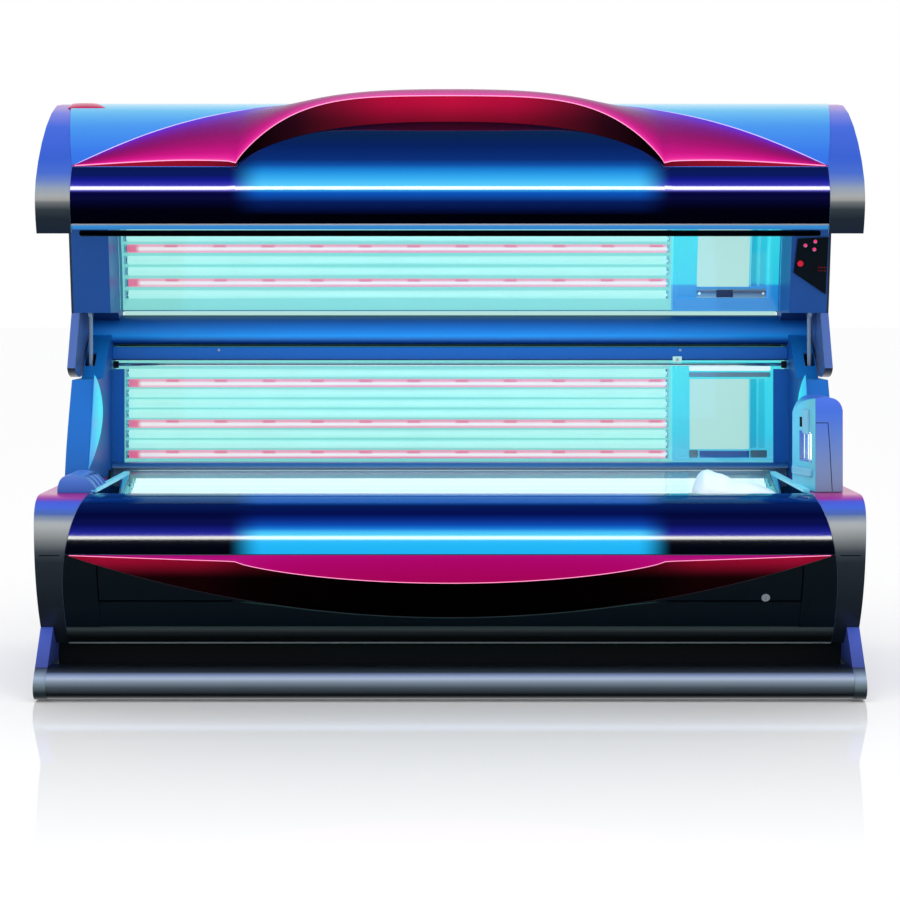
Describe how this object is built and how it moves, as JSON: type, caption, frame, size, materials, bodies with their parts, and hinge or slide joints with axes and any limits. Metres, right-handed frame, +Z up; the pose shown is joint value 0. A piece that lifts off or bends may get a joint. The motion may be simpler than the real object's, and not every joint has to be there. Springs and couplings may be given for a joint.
{
  "type": "clamshell tanning bed",
  "caption": "Clamshell tanning bed: a lamp-lit acrylic bench under a canopy that swings up on a rear hinge, with gas struts, curved end caps and gull-wing accent.",
  "frame": {"origin": "on the floor, under the middle of the bed's length and depth", "axes": "+X along the bed to the head end, -Y the open front where the user gets in, +Z up"},
  "size_m": [2.28, 1.1, 1.7097],
  "materials": {
    "silver_paint": "silver lacquer on moulded plastic, satin gloss",
    "blue_silver_paint": "silver lacquer lit blue by the lamps",
    "tube_paint": "silver lacquer on steel tube",
    "black_gloss": "piano black, high gloss",
    "dark_panel": "black, satin gloss",
    "magenta_gloss": "metallic magenta lacquer, high gloss",
    "grey_trim": "grey trim, satin",
    "steel_sheet": "dark grey powder coat",
    "rubber_foot": "black, matt",
    "clear_acrylic": "clear acrylic sheet, polished",
    "lamp_tube": "coated lamp tube, lit",
    "reflector_sheet": "polished reflector sheet",
    "chrome_metal": "polished chrome",
    "cushion_cover": "white wipe-clean cover",
    "red_button": "red, glossy",
    "grey_plastic": "grey, fine texture"
  },
  "bodies": {
    "bed": {"base_pan": "steel_sheet", "front_rail": "silver_paint", "left_base_plate": "blue_silver_paint", "right_base_plate": "blue_silver_paint", "foot_front_left": "rubber_foot", "foot_front_right": "rubber_foot", "foot_rear_left": "rubber_foot", "foot_rear_right": "rubber_foot", "lower_front_cover": "black_gloss", "lower_front_panel": "dark_panel", "left_corner_panel": "dark_panel", "right_corner_panel": "dark_panel", "kick_trim": "grey_trim", "lower_accent": "magenta_gloss", "left_lower_end_cap": "silver_paint", "right_lower_end_cap": "silver_paint", "left_bench_rail": "chrome_metal", "right_bench_rail": "chrome_metal", "bench_reflector": "reflector_sheet", "bench_lamp_bank": "lamp_tube", "crossbar": "blue_silver_paint", "back_sill": "blue_silver_paint", "back_acrylic": "clear_acrylic", "back_reflector": "reflector_sheet", "back_lamp_bank": "lamp_tube", "acrylic_rod": "chrome_metal", "shoulder_unit": "reflector_sheet", "left_column": "blue_silver_paint", "right_column": "blue_silver_paint", "left_strut_cylinder": "steel_sheet", "right_strut_cylinder": "steel_sheet", "foot_end_housing": "blue_silver_paint", "head_pod": "blue_silver_paint", "rear_cover": "dark_panel", "ballast_tray": "steel_sheet"},
    "canopy": {"canopy_front_cover": "black_gloss", "canopy_shell": "blue_silver_paint", "canopy_accent": "magenta_gloss", "hinge_tube": "tube_paint", "left_canopy_arm": "blue_silver_paint", "right_canopy_arm": "blue_silver_paint", "left_canopy_end_cap": "silver_paint", "right_canopy_end_cap": "silver_paint", "canopy_acrylic": "clear_acrylic", "canopy_reflector": "reflector_sheet", "canopy_lamp_bank": "lamp_tube", "face_tanner": "reflector_sheet", "control_panel": "dark_panel"},
    "left_rod": {"left_strut_rod": "chrome_metal"},
    "right_rod": {"right_strut_rod": "chrome_metal"},
    "bench_lid": {"bench_acrylic": "clear_acrylic", "head_cushion": "cushion_cover"},
    "flap": {"service_flap": "dark_panel"},
    "lock": {"lock_barrel": "chrome_metal"},
    "fan": {"fan_wheel": "grey_plastic"},
    "louvre": {"pod_louvre": "clear_acrylic"},
    "start": {"start_button": "red_button"},
    "upper": {"upper_button": "grey_plastic"},
    "middle": {"middle_button": "grey_plastic"},
    "lower": {"lower_button": "grey_plastic"}
  },
  "joints": [
    {"name": "canopy_swing", "type": "hinge", "parent": "bed", "child": "canopy", "pos_m": [0, 0.284, 1.006], "axis": [-1, 0, 0], "range_deg": [-46, 0]},
    {"name": "left_rod_slide", "type": "slide", "parent": "bed", "child": "left_rod", "axis": [0, 0, 1], "range_m": [-0.118, 0]},
    {"name": "right_rod_slide", "type": "slide", "parent": "bed", "child": "right_rod", "axis": [0, 0, 1], "range_m": [-0.118, 0]},
    {"name": "bench_lift", "type": "hinge", "parent": "bed", "child": "bench_lid", "pos_m": [0, 0.2369, 0.575], "axis": [-1, 0, 0], "range_deg": [0, 30]},
    {"name": "flap_drop", "type": "hinge", "parent": "bed", "child": "flap", "pos_m": [0, -0.4325, 0.1935], "axis": [1, 0, 0], "range_deg": [0, 80]},
    {"name": "lock_turn", "type": "hinge", "parent": "bed", "child": "lock", "pos_m": [0.871, -0.4873, 0.28], "axis": [0, -0.9056, -0.4242], "range_deg": [0, 90]},
    {"name": "fan_spin", "type": "hinge", "parent": "bed", "child": "fan", "pos_m": [0, 0.5, 0.48], "axis": [0, 1, 0], "continuous": true},
    {"name": "louvre_turn", "type": "hinge", "parent": "bed", "child": "louvre", "pos_m": [1.02155, -0.32025, 0.686], "axis": [0, 0, 1], "range_deg": [-15, 15]},
    {"name": "start_press", "type": "slide", "parent": "canopy", "child": "start", "axis": [0, 0.9793, 0.2023], "range_m": [0, 0.002], "stiffness_N_per_m": 200, "springref_m": -0.001},
    {"name": "upper_press", "type": "slide", "parent": "canopy", "child": "upper", "axis": [0, 0.9793, 0.2023], "range_m": [0, 0.002], "stiffness_N_per_m": 200, "springref_m": -0.001},
    {"name": "middle_press", "type": "slide", "parent": "canopy", "child": "middle", "axis": [0, 0.9793, 0.2023], "range_m": [0, 0.002], "stiffness_N_per_m": 200, "springref_m": -0.001},
    {"name": "lower_press", "type": "slide", "parent": "canopy", "child": "lower", "axis": [0, 0.9793, 0.2023], "range_m": [0, 0.002], "stiffness_N_per_m": 200, "springref_m": -0.001}
  ],
  "couplings": [
    {"joint": "left_rod_slide", "follows": "canopy_swing", "m_per_rad": 0.14647},
    {"joint": "right_rod_slide", "follows": "canopy_swing", "m_per_rad": 0.14647}
  ]
}
